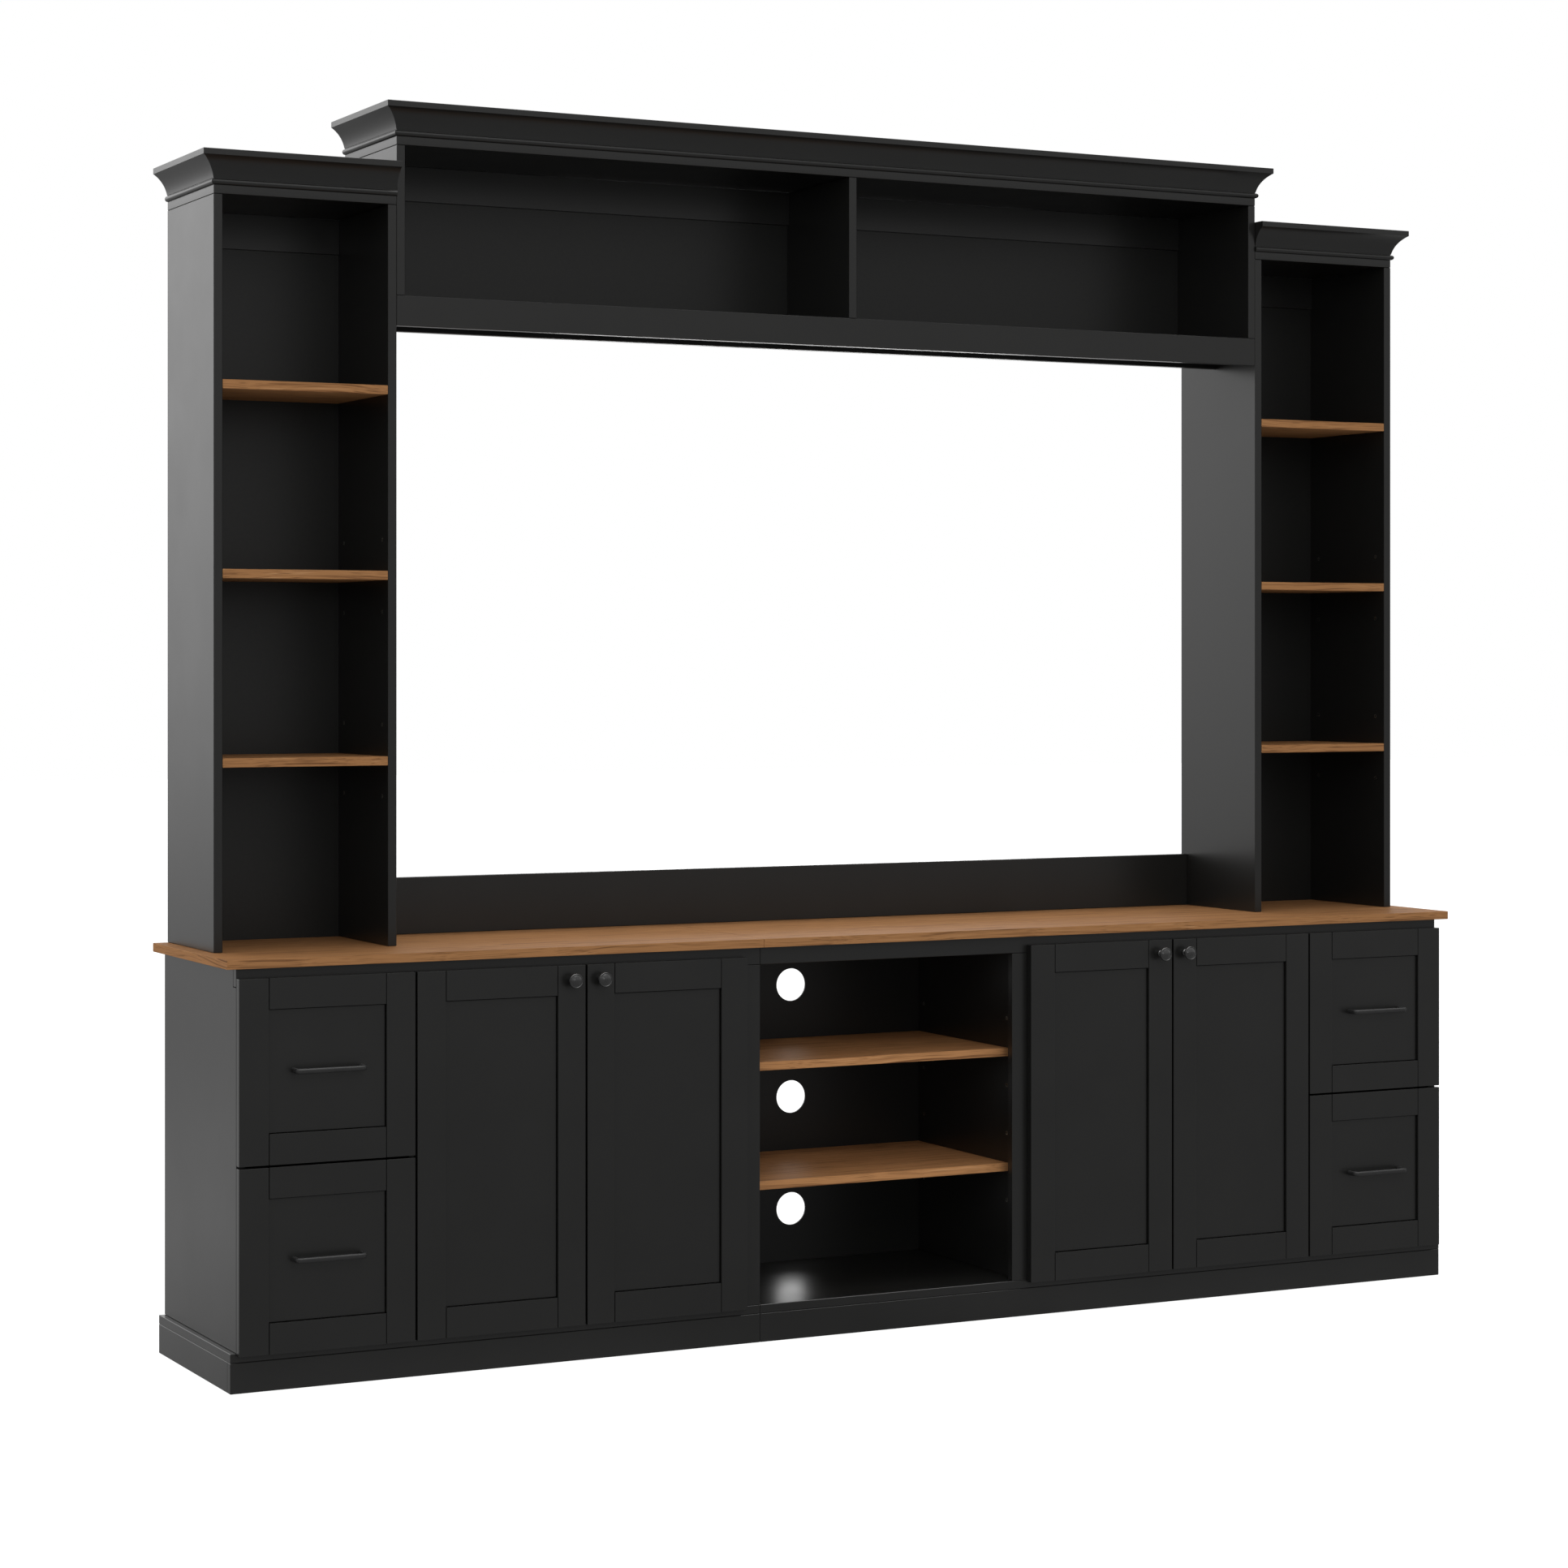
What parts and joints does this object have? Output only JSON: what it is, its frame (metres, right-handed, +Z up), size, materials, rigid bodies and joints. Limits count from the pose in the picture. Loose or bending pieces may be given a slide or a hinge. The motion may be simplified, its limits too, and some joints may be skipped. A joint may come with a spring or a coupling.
{
  "type": "entertainment center",
  "caption": "Wall entertainment unit: cabinet base with shaker doors, drawers and open bay, two shelf towers and a bridge with crown over a television opening.",
  "frame": {"origin": "on the floor, under the middle of the unit's overall box, pulls and knobs included", "axes": "+X along the unit to the right as seen from the front, +Y from the front towards the wall, +Z up"},
  "size_m": [2.552, 0.442, 2.2208],
  "materials": {
    "charcoal_laminate": "satin charcoal laminate on engineered board",
    "walnut_laminate": "satin walnut laminate on engineered board",
    "drawer_laminate": "matt dark laminate on engineered board",
    "black_metal": "black powder coat on cast zinc alloy"
  },
  "bodies": {
    "root": {"left_plinth": "charcoal_laminate", "left_floor": "charcoal_laminate", "left_end_panel": "charcoal_laminate", "left_top_rail": "charcoal_laminate", "left_divider": "charcoal_laminate", "left_bay_wall": "charcoal_laminate", "left_base_back": "charcoal_laminate", "left_countertop": "walnut_laminate", "right_plinth": "charcoal_laminate", "right_floor": "charcoal_laminate", "right_end_panel": "charcoal_laminate", "right_top_rail": "charcoal_laminate", "right_divider": "charcoal_laminate", "right_bay_wall": "charcoal_laminate", "right_base_back": "charcoal_laminate", "right_countertop": "walnut_laminate", "lower_bay_shelf": "walnut_laminate", "upper_bay_shelf": "walnut_laminate", "left_tower_outer_panel": "charcoal_laminate", "left_tower_inner_panel": "charcoal_laminate", "left_tower_back": "charcoal_laminate", "left_tower_cornice": "charcoal_laminate", "left_tower_shelf_1": "walnut_laminate", "left_tower_shelf_2": "walnut_laminate", "left_tower_shelf_3": "walnut_laminate", "right_tower_outer_panel": "charcoal_laminate", "right_tower_inner_panel": "charcoal_laminate", "right_tower_back": "charcoal_laminate", "right_tower_cornice": "charcoal_laminate", "right_tower_shelf_1": "walnut_laminate", "right_tower_shelf_2": "walnut_laminate", "right_tower_shelf_3": "walnut_laminate", "bridge_floor": "charcoal_laminate", "bridge_apron": "charcoal_laminate", "bridge_left_panel": "charcoal_laminate", "bridge_right_panel": "charcoal_laminate", "bridge_partition": "charcoal_laminate", "bridge_back": "charcoal_laminate", "bridge_cornice": "charcoal_laminate", "backsplash": "charcoal_laminate"},
    "left_outer_door": {"left_outer_door": "charcoal_laminate", "left_outer_door_knob": "black_metal"},
    "left_inner_door": {"left_inner_door": "charcoal_laminate", "left_inner_door_knob": "black_metal"},
    "right_outer_door": {"right_outer_door": "charcoal_laminate", "right_outer_door_knob": "black_metal"},
    "right_inner_door": {"right_inner_door": "charcoal_laminate", "right_inner_door_knob": "black_metal"},
    "left_lower_drawer": {"left_lower_drawer_front": "charcoal_laminate", "left_lower_drawer_box": "drawer_laminate", "left_lower_drawer_pull": "black_metal"},
    "left_upper_drawer": {"left_upper_drawer_front": "charcoal_laminate", "left_upper_drawer_box": "drawer_laminate", "left_upper_drawer_pull": "black_metal"},
    "right_lower_drawer": {"right_lower_drawer_front": "charcoal_laminate", "right_lower_drawer_box": "drawer_laminate", "right_lower_drawer_pull": "black_metal"},
    "right_upper_drawer": {"right_upper_drawer_front": "charcoal_laminate", "right_upper_drawer_box": "drawer_laminate", "right_upper_drawer_pull": "black_metal"}
  },
  "joints": [
    {"name": "left_outer_door_hinge", "type": "hinge", "parent": "root", "child": "left_outer_door", "pos_m": [-0.93457, -0.1975, 0.382], "axis": [0, 0, -1], "range_deg": [0, 90]},
    {"name": "left_inner_door_hinge", "type": "hinge", "parent": "root", "child": "left_inner_door", "pos_m": [-0.2982, -0.1975, 0.382], "axis": [0, 0, 1], "range_deg": [0, 90]},
    {"name": "right_inner_door_hinge", "type": "hinge", "parent": "root", "child": "right_inner_door", "pos_m": [0.2982, -0.1975, 0.382], "axis": [0, 0, -1], "range_deg": [0, 90]},
    {"name": "right_outer_door_hinge", "type": "hinge", "parent": "root", "child": "right_outer_door", "pos_m": [0.93457, -0.1975, 0.382], "axis": [0, 0, 1], "range_deg": [0, 90]},
    {"name": "left_lower_drawer_slide", "type": "slide", "parent": "root", "child": "left_lower_drawer", "axis": [0, -1, 0], "range_m": [0, 0.26]},
    {"name": "left_upper_drawer_slide", "type": "slide", "parent": "root", "child": "left_upper_drawer", "axis": [0, -1, 0], "range_m": [0, 0.26]},
    {"name": "right_lower_drawer_slide", "type": "slide", "parent": "root", "child": "right_lower_drawer", "axis": [0, -1, 0], "range_m": [0, 0.26]},
    {"name": "right_upper_drawer_slide", "type": "slide", "parent": "root", "child": "right_upper_drawer", "axis": [0, -1, 0], "range_m": [0, 0.26]}
  ]
}
